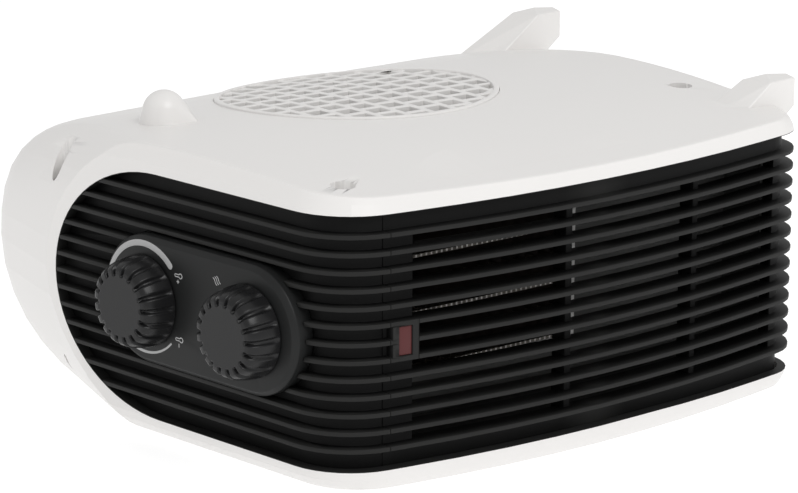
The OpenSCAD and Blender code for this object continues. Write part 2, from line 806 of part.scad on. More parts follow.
module scroll_housing() {
    color([0.12, 0.12, 0.12]) difference() {
        union() {
            translate([0, 0, scroll_z]) linear_extrude(scroll_h - scroll_wall)
                scroll_plan(scroll_wall, 0);
            motor_places(scroll_z - pillar_h) cylinder(r = 4.5, h = pillar_h + eps);
        }
        translate([0, 0, duct_z0]) linear_extrude(scroll_h) scroll_plan(0, 10);
        translate(lift(fan_at, 0)) cylinder(r = 9, h = 2 * scroll_z);
        motor_places(0) cylinder(r = screw_r + slip, h = scroll_z + 1);
    }
}

module scroll_cover() {
    color([0.12, 0.12, 0.12]) difference() {
        union() {
            translate([0, 0, duct_z1]) linear_extrude(scroll_wall) scroll_plan(scroll_wall, 0);
            translate(lift(fan_at, duct_z1)) cylinder(r = impeller_r - 4, h = scroll_wall + 5);
        }
        translate(lift(fan_at, 0)) cylinder(r = impeller_r - 6, h = crown_z);
    }
}

// Box behind the outlet grille that leads the air from the fan housing to the ribs
module air_guide() {
    t = 1.6;
    x0 = window_x0 + 1.2 + t;
    x1 = window_x1 - 1.2 - t;
    low = parting_z - window_r - 1;
    h = 2 * window_r + 2;
    color([0.1, 0.1, 0.1]) difference() {
        intersection() {
            linear_extrude(crown_z) polygon(body_outline(free_rib_d + slip));
            translate([x0 - t, -body_d, low - t])
                cube([x1 - x0 + 2 * t, body_d + guide_y + t, h + 2 * t]);
        }
        translate([x0, -body_d - 1, low]) cube([x1 - x0, body_d + guide_y + 1, h]);
        translate([duct_x0 - scroll_wall - slip, guide_y - 5, scroll_z - slip])
            cube([duct_x1 - duct_x0 + 2 * scroll_wall + 2 * slip, 20, scroll_h + 2 * slip]);
    }
}

module heater_frame() {
    w = duct_x1 - duct_x0 - 2 * slip;
    color("khaki") translate([duct_x0 + slip, duct_y, duct_z0 + slip]) {
        for (k = [0:ribbon_rows]) translate([0, 0, k * (ribbon_h + mica_t)])
            cube([w, heater_d, mica_t]);
        for (x = [0, w - mica_t]) translate([x, 0, 0])
            cube([mica_t, heater_d, duct_z1 - duct_z0 - 2 * slip]);
    }
}

// Zigzag ribbon standing between two mica sheets
module ribbon() {
    w = duct_x1 - duct_x0 - 2 * slip - 2 * mica_t - 1;
    n = floor(w / strand_pitch);
    swing = heater_d / 2 - 1.6;
    side = [0, ribbon_t / 2 / sin(atan(strand_pitch / (2 * swing)))];
    path = [for (i = [0:n]) [i * strand_pitch, (i % 2 == 0 ? 1 : -1) * swing]];
    linear_extrude(ribbon_h - 0.2)
        polygon(concat([for (p = path) p + side], [for (i = [n:-1:0]) path[i] - side]));
}

module heater_ribbons() {
    color("silver") for (k = [0:ribbon_rows - 1])
        translate([duct_x0 + slip + mica_t + 0.5, duct_y + heater_d / 2,
            duct_z0 + slip + mica_t + 0.1 + k * (ribbon_h + mica_t)])
            ribbon();
}

module thermal_cutout() {
    color("saddlebrown") translate([duct_x0 + 30, duct_y + 26, scroll_z + scroll_h]) {
        cylinder(r = 7, h = 5);
        for (x = [-8, 3]) translate([x, -3, 2]) cube([5, 6, 0.8]);
    }
}

module impeller() {
    rise = 2;
    blade_in = impeller_r - 8;
    blade = [for (s = [0:0.25:1]) (blade_in + s * 7.5) * unit(12 * s * s)];
    color([0.25, 0.25, 0.25]) translate(lift(fan_at, impeller_z)) difference() {
        union() {
            cylinder(r = impeller_r, h = rise);
            cylinder(r = 8, h = hub_h);
            for (i = [0:impeller_blades - 1]) rotate([0, 0, i * 360 / impeller_blades])
                translate([0, 0, rise - eps]) linear_extrude(impeller_h - rise)
                    polygon(concat(blade, [for (k = [4:-1:0]) blade[k] + [0, 1.1]]));
            translate([0, 0, impeller_h - rise]) difference() {
                cylinder(r = impeller_r, h = rise);
                cylinder(r = impeller_r - 5, h = 3 * rise, center = true);
            }
        }
        translate([0, 0, -1]) cylinder(r = shaft_r + eps, h = hub_h + 2);
    }
}

module impeller_clip() {
    color("silver") translate(lift(fan_at, impeller_z + hub_h)) difference() {
        cylinder(r = shaft_r + 3, h = 1.2);
        translate([0, 0, -1]) cylinder(r = shaft_r + eps, h = 4);
    }
}

module motor_shaft() {
    low = core_z - plate_t - 5;
    color("silver") translate(lift(fan_at, low))
        cylinder(r = shaft_r, h = impeller_z + hub_h + 3 - low);
}

module motor_rotor() {
    color("gray") translate(lift(fan_at, core_z)) difference() {
        cylinder(r = rotor_r, h = core_h);
        translate([0, 0, -1]) cylinder(r = shaft_r + eps, h = core_h + 2);
    }
}

// Laminated core: bore at the fan axis, and a window for the coil behind it
module motor_core() {
    color("slategray") translate(lift(fan_at, core_z)) linear_extrude(core_h) difference() {
        translate([-core_w / 2, -core_front]) square([core_w, core_front + core_back]);
        circle(rotor_r + 0.4);
        translate([-core_w / 2 + leg_d, core_front]) square([core_w - 2 * leg_d, window_d]);
        for (x = [-bracket_x, bracket_x]) translate([x, 0]) circle(screw_r + slip);
    }
}

module motor_coil() {
    t = 7;
    out = window_d - 1;
    color("peru") translate(lift(fan_at, core_z)) difference() {
        translate([-core_w / 2 + leg_d + 1, core_front + 1, -t])
            cube([core_w - 2 * leg_d - 2, leg_d + 2 * out, core_h + 2 * t]);
        translate([-core_w, core_back - leg_d - 0.1, -0.1])
            cube([2 * core_w, leg_d + 0.2, core_h + 0.2]);
    }
}

module motor_bracket(side) {
    bearing_h = 5;
    difference() {
        union() {
            for (x = [-bracket_x, bracket_x]) translate([x, 0, 0]) cylinder(r = 6, h = plate_t);
            translate([-bracket_x, -6, 0]) cube([2 * bracket_x, 12, plate_t]);
            translate([0, 0, side > 0 ? 0 : plate_t - bearing_h]) cylinder(r = 6, h = bearing_h);
        }
        cylinder(r = shaft_r + shaft_fit, h = 30, center = true);
        for (x = [-bracket_x, bracket_x]) translate([x, 0, 0])
            cylinder(r = screw_r + slip, h = 30, center = true);
    }
}

module motor_brackets() {
    color("lightgray") {
        translate(lift(fan_at, core_z + core_h)) motor_bracket(1);
        translate(lift(fan_at, core_z - plate_t)) motor_bracket(-1);
    }
}

module motor_screws() {
    low = core_z - plate_t;
    color("silver") motor_places(low - 2.5) {
        cylinder(r = head_r, h = 2.5);
        cylinder(r = screw_r, h = scroll_z + scroll_wall - low);
    }
}

module terminal_block() {
    at = fan_at + [core_w / 2 + 20, 4 - block_d];
    color("ivory") translate(lift(at, wall)) difference() {
        cube([block_w, block_d, block_h]);
        for (x = [1, 3, 5], y = [-4, 4])
            translate([x * block_w / 6, block_d / 2 + y, block_h - 7]) cylinder(r = 2.4, h = 10);
    }
}

module cord_gland() {
    color([0.15, 0.15, 0.15]) translate(lift(gland_at, parting_z)) rotate([90, 0, 0]) difference() {
        union() {
            translate([0, 0, -gland_out]) cylinder(r = gland_r + 2.5, h = gland_out);
            cylinder(r = gland_r, h = wall + 3);
            translate([0, 0, wall + 1.8]) cylinder(r = gland_r + 2.5, h = 2);
        }
        cylinder(r = gland_r - 1.6, h = 40, center = true);
    }
}

module shell_screws() {
    color("silver") for (p = wells) translate(lift(p, 0)) difference() {
        union() {
            translate([0, 0, well_z]) cylinder(r = head_r, h = 2.4);
            translate([0, 0, well_z - 30]) cylinder(r = screw_r, h = 30 + eps);
        }
        for (a = [0, 90]) translate([0, 0, well_z + 2.4]) rotate([0, 0, a])
            cube([3.6, 0.9, 2], center = true);
    }
}

upper_shell();
lower_shell();
intake_grille();
outlet_grille();
control_fascia();
control_plate();
thermostat_knob();
selector_knob();
thermostat_spindle();
selector_spindle();
thermostat();
selector_switch();
pilot_lens();
pilot_lamp();
heater_frame();
heater_ribbons();
thermal_cutout();
air_guide();
scroll_housing();
scroll_cover();
impeller();
impeller_clip();
motor_shaft();
motor_rotor();
motor_core();
motor_coil();
motor_brackets();
motor_screws();
terminal_block();
cord_gland();
shell_screws();
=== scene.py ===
"""Looks of a fan heater that lies on its flat side: finishes, knobs, printed marks and stage."""

import json
from math import cos, pi, radians, sin

import bpy
from mathutils import Matrix, Vector
from mathutils.geometry import convex_hull_2d, intersect_point_line


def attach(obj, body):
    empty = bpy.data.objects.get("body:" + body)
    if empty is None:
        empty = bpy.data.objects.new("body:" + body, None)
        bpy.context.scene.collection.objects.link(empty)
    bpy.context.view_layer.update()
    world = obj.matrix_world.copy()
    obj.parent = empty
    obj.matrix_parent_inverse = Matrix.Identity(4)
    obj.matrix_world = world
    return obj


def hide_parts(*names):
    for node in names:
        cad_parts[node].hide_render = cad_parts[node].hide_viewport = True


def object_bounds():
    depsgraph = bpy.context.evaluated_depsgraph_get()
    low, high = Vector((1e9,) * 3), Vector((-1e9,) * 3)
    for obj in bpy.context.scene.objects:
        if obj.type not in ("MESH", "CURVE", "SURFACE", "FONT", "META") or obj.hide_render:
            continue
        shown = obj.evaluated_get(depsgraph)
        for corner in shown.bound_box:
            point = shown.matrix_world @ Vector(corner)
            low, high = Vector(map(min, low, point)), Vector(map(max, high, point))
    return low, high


bl_info = {
    "name": "Fan Heater Looks",
    "version": (1, 0, 0),
    "blender": (4, 5, 0),
    "location": "View3D > Sidebar > Fan Heater",
    "description": "Dresses the packed fan heater with finishes, knobs, printed marks and a stage",
    "category": "Object",
}

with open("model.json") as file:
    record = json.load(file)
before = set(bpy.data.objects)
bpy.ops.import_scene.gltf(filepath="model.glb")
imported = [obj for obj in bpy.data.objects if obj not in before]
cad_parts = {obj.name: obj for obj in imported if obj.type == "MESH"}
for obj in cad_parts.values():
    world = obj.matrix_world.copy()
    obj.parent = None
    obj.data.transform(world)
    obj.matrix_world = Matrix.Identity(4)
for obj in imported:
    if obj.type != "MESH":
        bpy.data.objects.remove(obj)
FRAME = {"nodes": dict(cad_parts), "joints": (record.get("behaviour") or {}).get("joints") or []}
CAD_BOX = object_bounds()
MM = 0.001
WELD = 0.02 * MM

# Points round a knob from one groove to the next, and how many of them lie in the groove
PITCH_POINTS = 10
GROOVE_POINTS = 3

# Light that the floor gives off and strength of the white world around the stage
FLOOR_GLOW = 0.72
WORLD_STRENGTH = 0.7


class HeaterSizes(bpy.types.PropertyGroup):
    """Sizes of the pieces that are added around the frame"""

    lattice_edge: bpy.props.FloatProperty(
        name="Lattice edge", description="Round on the edges of the white intake lattice",
        default=0.35 * MM, min=0, max=0.6 * MM, unit="LENGTH")
    rib_edge: bpy.props.FloatProperty(
        name="Rib edge", description="Round on the edges of the black ribs",
        default=0.25 * MM, min=0, max=0.5 * MM, unit="LENGTH")
    plate_edge: bpy.props.FloatProperty(
        name="Plate edge", description="Round on the edges of the raised control plate",
        default=0.45 * MM, min=0, max=0.6 * MM, unit="LENGTH")
    lens_edge: bpy.props.FloatProperty(
        name="Lens edge", description="Round on the edges of the pilot light's lens",
        default=0.3 * MM, min=0, max=0.4 * MM, unit="LENGTH")
    rim_wall: bpy.props.FloatProperty(
        name="Rim wall", description="Wall of the black rim that lines the front opening",
        default=0.25 * MM, min=0.1 * MM, max=0.28 * MM, unit="LENGTH")
    knob_radius: bpy.props.FloatProperty(
        name="Knob radius", description="Radius of a knob at its base",
        default=17.5 * MM, min=17 * MM, max=18 * MM, unit="LENGTH")
    face_radius: bpy.props.FloatProperty(
        name="Knob face radius", description="Radius of the flat face of a knob",
        default=12.6 * MM, min=11 * MM, max=14 * MM, unit="LENGTH")
    knob_drop: bpy.props.FloatProperty(
        name="Knob drop", description="How much lower the flat face lies than the plain knob's",
        default=1.4 * MM, min=0, max=2 * MM, unit="LENGTH")
    grooves: bpy.props.IntProperty(
        name="Knob grooves", description="Number of finger grooves on a knob",
        default=18, min=12, max=24)
    groove_depth: bpy.props.FloatProperty(
        name="Groove depth", description="Depth of the finger grooves",
        default=1.7 * MM, min=0.5 * MM, max=2 * MM, unit="LENGTH")
    scale_radius: bpy.props.FloatProperty(
        name="Scale radius", description="Radius of the printed arc round the thermostat knob",
        default=20.8 * MM, min=19 * MM, max=23 * MM, unit="LENGTH")
    scale_width: bpy.props.FloatProperty(
        name="Scale width", description="Width of the printed arc at its thick end",
        default=2.7 * MM, min=1 * MM, max=4 * MM, unit="LENGTH")
    ink_height: bpy.props.FloatProperty(
        name="Ink height", description="How far the printed marks stand proud",
        default=0.05 * MM, min=0.01 * MM, max=0.2 * MM, unit="LENGTH")


class HeaterColours(bpy.types.PropertyGroup):
    """Colours of the heater's finishes"""

    shell: bpy.props.FloatVectorProperty(
        name="Shell", description="Moulded white plastic of the casing",
        default=(0.78, 0.765, 0.75), size=3, subtype="COLOR", min=0, max=1)
    black: bpy.props.FloatVectorProperty(
        name="Black front", description="Moulded black plastic of the ribs",
        default=(0.02, 0.02, 0.0195), size=3, subtype="COLOR", min=0, max=1)
    # Painted shade: a darker black painted on the ribs' plastic where it lies deep behind their
    # fronts, in place of the shade there
    painted_shade: bpy.props.FloatVectorProperty(
        name="Black depths", description="Black plastic behind the fronts of the ribs",
        default=(0.006, 0.006, 0.006), size=3, subtype="COLOR", min=0, max=1)
    plate: bpy.props.FloatVectorProperty(
        name="Control plate", description="Dark grey plastic of the raised plate",
        default=(0.0145, 0.015, 0.015), size=3, subtype="COLOR", min=0, max=1)
    knob: bpy.props.FloatVectorProperty(
        name="Knobs", description="Dark grey plastic of the knobs",
        default=(0.011, 0.011, 0.0115), size=3, subtype="COLOR", min=0, max=1)
    ink: bpy.props.FloatVectorProperty(
        name="Ink", description="Light grey ink of the printed marks",
        default=(0.42, 0.42, 0.42), size=3, subtype="COLOR", min=0, max=1)
    lens: bpy.props.FloatVectorProperty(
        name="Pilot lens", description="Red plastic of the pilot light's lens",
        default=(0.085, 0.02, 0.02), size=3, subtype="COLOR", min=0, max=1)
    floor: bpy.props.FloatVectorProperty(
        name="Floor", description="Pale floor under the heater",
        default=(0.45, 0.45, 0.45), size=3, subtype="COLOR", min=0, max=1)


def add_node(tree, kind, inputs, **settings):
    """Adds a shader node. An input takes a value, or the output that feeds it."""
    node = tree.nodes.new("ShaderNode" + kind)
    for name, value in settings.items():
        setattr(node, name, value)
    for socket, value in inputs.items():
        if isinstance(value, bpy.types.NodeSocket):
            tree.links.new(value, node.inputs[socket])
        else:
            node.inputs[socket].default_value = value
    return node


def computed(tree, operation, *values):
    """Output of a Math node on the given values."""
    return add_node(tree, "Math", dict(enumerate(values)), operation=operation).outputs[0]


def mixed(tree, share, first, second):
    """Output of a colour mix."""
    inputs = {"Factor": share, "A": first, "B": second}
    return add_node(tree, "Mix", inputs, data_type="RGBA").outputs["Result"]


def noise(tree, place, scale, detail):
    """Output of a noise texture of that scale."""
    inputs = {"Vector": place, "Scale": scale, "Detail": detail}
    return add_node(tree, "TexNoise", inputs).outputs["Fac"]


def rising(tree, value, foot, top):
    """Output that runs from 0 where the value is at the foot to 1 where it is at the top."""
    inputs = {"Value": value, "From Min": foot, "From Max": top}
    return add_node(tree, "MapRange", inputs).outputs["Result"]


def facing(tree, axis):
    """How far the surface faces along an axis, from -1 to 1."""
    normal = add_node(tree, "NewGeometry", {}).outputs["Normal"]
    return add_node(tree, "SeparateXYZ", {0: normal}).outputs[axis]


def new_group(name, inputs, outputs):
    """Empty shader node group with the given sockets, each a name, a type and a default."""
    group = bpy.data.node_groups.new(name, "ShaderNodeTree")
    for socket, kind, default in inputs:
        made = group.interface.new_socket(socket, in_out="INPUT", socket_type="NodeSocket" + kind)
        made.default_value = default
    for socket, kind in outputs:
        group.interface.new_socket(socket, in_out="OUTPUT", socket_type="NodeSocket" + kind)
    return (group, group.nodes.new("NodeGroupInput").outputs,
            group.nodes.new("NodeGroupOutput").inputs)


def moulded_group():
    """Fine spark-eroded grain of moulded plastic, with faint clouding and settled dust."""
    group, given, made = new_group(
        "Moulded Plastic",
        [("Colour", "Color", (0.5, 0.5, 0.5, 1)), ("Roughness", "Float", 0.4),
         ("Clouding", "Float", 0.05), ("Grain Scale", "Float", 1800.0),
         ("Grain", "Float", 0.2), ("Dust", "Float", 0.1)],
        [("Colour", "Color"), ("Roughness", "Float"), ("Height", "Float")])
    place = add_node(group, "TexCoord", {}).outputs["Object"]
    cloud = noise(group, place, 22, 3)
    grain = noise(group, place, given["Grain Scale"], 2)
    swing = computed(group, "SUBTRACT", cloud, 0.5)
    shade = computed(group, "MULTIPLY_ADD", swing, given["Clouding"], 1)
    tint = add_node(group, "VectorMath", {0: given["Colour"], "Scale": shade}, operation="SCALE")

    # Dust settles in patches on what faces up
    patches = computed(group, "MULTIPLY", rising(group, facing(group, "Z"), 0.3, 1), cloud)
    dusty = computed(group, "MULTIPLY", patches, given["Dust"])
    group.links.new(mixed(group, dusty, tint.outputs[0], (0.45, 0.44, 0.42, 1)), made["Colour"])
    rough = computed(group, "MULTIPLY_ADD", swing, 0.12, given["Roughness"])
    group.links.new(rough, made["Roughness"])
    group.links.new(computed(group, "MULTIPLY", grain, given["Grain"]), made["Height"])
    return group


def worn_metal_group():
    """Rolled metal with drawn-out scratches, dull patches and a tint along its length."""
    group, given, made = new_group(
        "Worn Metal",
        [("Colour", "Color", (0.6, 0.6, 0.6, 1)), ("Tint", "Color", (0.4, 0.35, 0.3, 1)),
         ("Roughness", "Float", 0.35), ("Tinting", "Float", 0.3), ("Scratches", "Float", 0.3)],
        [("Colour", "Color"), ("Roughness", "Float"), ("Height", "Float")])
    place = add_node(group, "TexCoord", {}).outputs["Object"]
    drawn = add_node(group, "Mapping", {"Vector": place, "Scale": (1, 1, 14)}).outputs["Vector"]
    scratch = noise(group, drawn, 700, 4)
    patch = noise(group, place, 90, 3)
    share = computed(group, "MULTIPLY", patch, given["Tinting"])
    group.links.new(mixed(group, share, given["Colour"], given["Tint"]), made["Colour"])
    swing = computed(group, "SUBTRACT", patch, 0.5)
    rough = computed(group, "MULTIPLY_ADD", swing, 0.3, given["Roughness"])
    group.links.new(rough, made["Roughness"])
    group.links.new(computed(group, "MULTIPLY", scratch, given["Scratches"]), made["Height"])
    return group


def layers_group():
    """Fine level layers, as in a stack of sheets or the turns of a coil."""
    group, given, made = new_group(
        "Layers", [("Pitch", "Float", 0.0005), ("Axis", "Vector", (0, 0, 1))],
        [("Mask", "Float")])
    place = add_node(group, "TexCoord", {}).outputs["Object"]
    along = add_node(group, "VectorMath", {0: place, 1: given["Axis"]}, operation="DOT_PRODUCT")
    turns = computed(group, "DIVIDE", along.outputs["Value"], given["Pitch"])
    swing = computed(group, "SINE", computed(group, "MULTIPLY", turns, 2 * pi))
    group.links.new(computed(group, "MULTIPLY_ADD", swing, 0.5, 0.5), made["Mask"])
    return group


def shared_node(tree, name, maker, values):
    """Outputs of a node with the group of that name, which is built the first time."""
    group = bpy.data.node_groups.get(name) or maker()
    return add_node(tree, "Group", values, node_tree=group).outputs


def new_material(name):
    """New material with its node tree and its shader."""
    material = bpy.data.materials.new(name)
    material.use_nodes = True
    return material, material.node_tree, material.node_tree.nodes["Principled BSDF"]


def set_surface(tree, shader, colour, roughness, height, depth=0.1 * MM, strength=0.5):
    """Feeds a shader's colour and roughness, and its normal from a height."""
    bump = add_node(tree, "Bump", {"Height": height, "Distance": depth, "Strength": strength})
    tree.links.new(bump.outputs["Normal"], shader.inputs["Normal"])
    tree.links.new(colour, shader.inputs["Base Color"])
    tree.links.new(roughness, shader.inputs["Roughness"])


def plastic(name, colour, roughness=0.4, clouding=0.05, grain=0.2, grain_scale=1800, dust=0.0,
            specular=0.5, painted_shade=None):
    """Material of a moulded plastic. Painted shade is a darker colour painted where the surface
    lies deep behind its front, standing in for the shade that falls there.
    """
    material, tree, shader = new_material(name)
    values = {"Colour": (*colour, 1), "Roughness": roughness, "Clouding": clouding,
              "Grain Scale": grain_scale, "Grain": grain, "Dust": dust}
    made = shared_node(tree, "Moulded Plastic", moulded_group, values)
    colour = made["Colour"]
    # Painted shade, growing with the depth behind the front
    if painted_shade is not None:
        depth = add_node(tree, "Attribute", {}, attribute_name="depth").outputs["Fac"]
        colour = mixed(tree, rising(tree, depth, 0.6 * MM, 3.5 * MM), colour, (*painted_shade, 1))
    set_surface(tree, shader, colour, made["Roughness"], made["Height"])
    shader.inputs["Specular IOR Level"].default_value = specular
    return material


def metal(name, colour, tint, roughness=0.35, tinting=0.3, scratches=0.3):
    """Material of a bare metal."""
    material, tree, shader = new_material(name)
    values = {"Colour": (*colour, 1), "Tint": (*tint, 1), "Roughness": roughness,
              "Tinting": tinting, "Scratches": scratches}
    made = shared_node(tree, "Worn Metal", worn_metal_group, values)
    set_surface(tree, shader, made["Colour"], made["Roughness"], made["Height"], 0.05 * MM, 0.3)
    shader.inputs["Metallic"].default_value = 1
    return material


def layers_mask(tree, pitch, axis):
    """Mask of level layers of the given pitch, stacked along the axis."""
    return shared_node(tree, "Layers", layers_group, {"Pitch": pitch, "Axis": axis})["Mask"]


def layered(name, light, dark, roughness, pitch, axis):
    """Material of metal sheets in a stack or of wound wire, with a dark line between layers."""
    material, tree, shader = new_material(name)
    mask = layers_mask(tree, pitch, axis)
    colour = mixed(tree, mask, (*dark, 1), (*light, 1))
    rough = computed(tree, "MULTIPLY_ADD", mask, -0.15, roughness + 0.15)
    set_surface(tree, shader, colour, rough, mask, pitch / 2, 0.7)
    shader.inputs["Metallic"].default_value = 1
    return material


def mica(name, light, dark, painted_highlight, pitch):
    """Material of pressed mica sheet, with a painted highlight in stripes for the ribbon's bends,
    on what faces the front.
    """
    material, tree, shader = new_material(name)
    place = add_node(tree, "TexCoord", {}).outputs["Object"]
    flakes = add_node(tree, "TexVoronoi", {"Vector": place, "Scale": 420})
    shade = add_node(tree, "SeparateColor", {0: flakes.outputs["Color"]}).outputs[0]
    rough = computed(tree, "MULTIPLY_ADD", shade, 0.3, 0.2)
    colour = mixed(tree, shade, (*dark, 1), (*light, 1))

    # Painted highlight: stripes for the bends of the ribbon catching the light, only on what faces
    # the front
    glint_stripes = rising(tree, layers_mask(tree, pitch, (1, 0, 0)), 0.7, 0.8)
    front = rising(tree, facing(tree, "Y"), -0.7, -0.9)
    colour = mixed(tree, computed(tree, "MULTIPLY", glint_stripes, front), colour, (*painted_highlight, 1))
    set_surface(tree, shader, colour, rough, flakes.outputs["Distance"], 0.05 * MM, 0.4)
    return material


def ceramic(name, colour):
    """Material of unglazed ceramic with fine dark specks."""
    material, tree, shader = new_material(name)
    place = add_node(tree, "TexCoord", {}).outputs["Object"]
    specks = noise(tree, place, 1500, 2)
    dark = tuple(0.55 * part for part in colour)
    tone = mixed(tree, rising(tree, specks, 0.62, 0.7), (*colour, 1), (*dark, 1))
    rough = computed(tree, "MULTIPLY_ADD", specks, 0.2, 0.45)
    set_surface(tree, shader, tone, rough, specks, 0.05 * MM, 0.4)
    return material


def give(material, *names):
    """Puts the material on CAD nodes."""
    for name in names:
        node = FRAME["nodes"][name]
        node.data.materials.clear()
        node.data.materials.append(material)


def new_object(name, data):
    """New object in the scene."""
    made = bpy.data.objects.new(name, data)
    bpy.context.scene.collection.objects.link(made)
    return made


def select_alone(piece):
    """Selects the piece alone and makes it the active one."""
    bpy.ops.object.select_all(action="DESELECT")
    piece.select_set(True)
    bpy.context.view_layer.objects.active = piece


def start(piece):
    """Selects the piece alone and opens it in edit mode with nothing picked."""
    select_alone(piece)
    bpy.ops.object.mode_set(mode="EDIT")
    bpy.ops.mesh.select_all(action="DESELECT")


def finish(piece, material, body, smooth=35):
    """Closes edit mode, shades the piece and hands it to its body."""
    if piece.mode == "EDIT":
        bpy.ops.object.mode_set(mode="OBJECT")
    bpy.ops.object.shade_smooth_by_angle(angle=radians(smooth))
    piece.data.materials.clear()
    piece.data.materials.append(material)
    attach(piece, body)


def apply_modifier(piece, kind, **settings):
    """Adds a modifier with the given settings and applies it."""
    modifier = piece.modifiers.new(kind.lower(), kind)
    for name, value in settings.items():
        setattr(modifier, name, value)
    bpy.ops.object.modifier_apply(modifier=modifier.name)


def welded_copy(node, name):
    """Copy of a CAD node with its facets welded, in edit mode."""
    piece = new_object(name, FRAME["nodes"][node].data.copy())
    start(piece)
    bpy.ops.mesh.select_all(action="SELECT")
    bpy.ops.mesh.remove_doubles(threshold=WELD)
    return piece


def softened(node, material, width, segments=2, angle=40, flat=0.4, smooth=35):
    """Welded copy of a CAD node, which it replaces.

    Facets that differ by less than flat degrees are merged. Edges sharper than the angle are
    rounded by the width, or with no width the large faces set the shading."""
    piece = welded_copy(node, node + "_skin")
    if flat:
        bpy.ops.mesh.dissolve_limited(angle_limit=radians(flat))
    bpy.ops.object.mode_set(mode="OBJECT")
    if width:
        apply_modifier(piece, "BEVEL", width=width, segments=segments, limit_method="ANGLE",
                       angle_limit=radians(angle), use_clamp_overlap=False)
    finish(piece, material, "housing", smooth)
    if not width:
        apply_modifier(piece, "WEIGHTED_NORMAL", keep_sharp=True, weight=100)
    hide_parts(node)
    return piece


def plan_spot(vertex):
    """Place of a vertex seen from above, to a hundredth of a millimetre."""
    return tuple(round(part, 5) for part in vertex.co[:2])


def measure_depth(*pieces):
    """Stores how far each point lies inside the outline of the pieces seen from above."""
    spots = sorted({plan_spot(vertex) for piece in pieces for vertex in piece.data.vertices})
    outline = [Vector(spots[index]) for index in convex_hull_2d(spots)]
    sides = list(zip(outline, outline[1:] + outline[:1]))
    depths = {}
    for spot in spots:
        here = Vector(spot)
        gaps = (here - intersect_point_line(here, *side)[0].xy for side in sides)
        depths[spot] = min(gap.length for gap in gaps)
    for piece in pieces:
        stored = piece.data.attributes.new("depth", "FLOAT", "POINT")
        for vertex, value in zip(piece.data.vertices, stored.data):
            value.value = depths[plan_spot(vertex)]


def line_opening(material, wall):
    """Black rim that lines the lip of the front opening, grown from the lip of both shells."""
    front = CAD_BOX[0][1] + 14 * MM

    # Each shell, which way its lip faces, and the heights that the lip lies between
    lips = (("lower_shell", 1, 5 * MM, 9.5 * MM), ("upper_shell", -1, 101 * MM, 105 * MM))
    halves = []
    for node, way, low, high in lips:
        half = welded_copy(node, "front_rim")
        pick_faces(half, lambda centre, normal: normal.z * way > 0.95
                   and low < centre.z < high and centre.y < front)
        bpy.ops.mesh.faces_select_linked_flat(sharpness=radians(30))
        bpy.ops.mesh.select_all(action="INVERT")
        bpy.ops.mesh.delete(type="FACE")
        bpy.ops.object.mode_set(mode="OBJECT")
        halves.append(half)
    rim = halves[0]
    for half in halves:
        half.select_set(True)
    bpy.context.view_layer.objects.active = rim
    bpy.ops.object.join()
    apply_modifier(rim, "SOLIDIFY", thickness=wall, offset=1)
    finish(rim, material, "housing")


def control_place(joint_name):
    """Matrix of a control: X level towards the front corner, Y up, Z out along its spindle."""
    joint = next(joint for joint in FRAME["joints"] if joint["name"] == joint_name)
    out = Vector(joint["axis"]).normalized()
    up = Vector((0, 0, 1))
    place = Matrix((up.cross(out), up, out)).transposed().to_4x4()
    place.translation = joint["pos_m"]
    return place


def span(node, place):
    """Least and greatest height of a CAD node along the Z of the place."""
    inverse = place.inverted()
    heights = [(inverse @ vertex.co).z for vertex in FRAME["nodes"][node].data.vertices]
    return min(heights), max(heights)


def pick_faces(piece, wanted):
    """Selects the faces of a piece in edit mode whose centre and normal pass the test."""
    bpy.ops.mesh.select_all(action="DESELECT")
    bpy.ops.mesh.select_mode(type="FACE")
    bpy.ops.object.mode_set(mode="OBJECT")
    for face in piece.data.polygons:
        face.select = wanted(face.center, face.normal)
    bpy.ops.object.mode_set(mode="EDIT")


def draw_cap(rings, radius, height):
    """Extrudes the picked cap through rings, each a radius and a height."""
    for to_radius, to_height in rings:
        bpy.ops.mesh.extrude_region_move(
            TRANSFORM_OT_translate={"value": (0, 0, to_height - height)})
        share = to_radius / radius
        bpy.ops.transform.resize(value=(share, share, 1), center_override=(0, 0, 0))
        radius, height = to_radius, to_height


def pick_groove(knob, columns, radius, height):
    """Selects the points of the ring at that radius and height that lie in a groove."""
    slack = 0.01 * MM
    bpy.ops.mesh.select_all(action="DESELECT")
    bpy.ops.mesh.select_mode(type="VERT")
    bpy.ops.object.mode_set(mode="OBJECT")
    for vertex in knob.data.vertices:
        across = vertex.co.xy
        if abs(across.length - radius) < slack and abs(vertex.co.z - height) < slack:
            turn = across.angle_signed(Vector((1, 0))) / (2 * pi)
            vertex.select = round(turn * columns) % PITCH_POINTS < GROOVE_POINTS
    bpy.ops.object.mode_set(mode="EDIT")


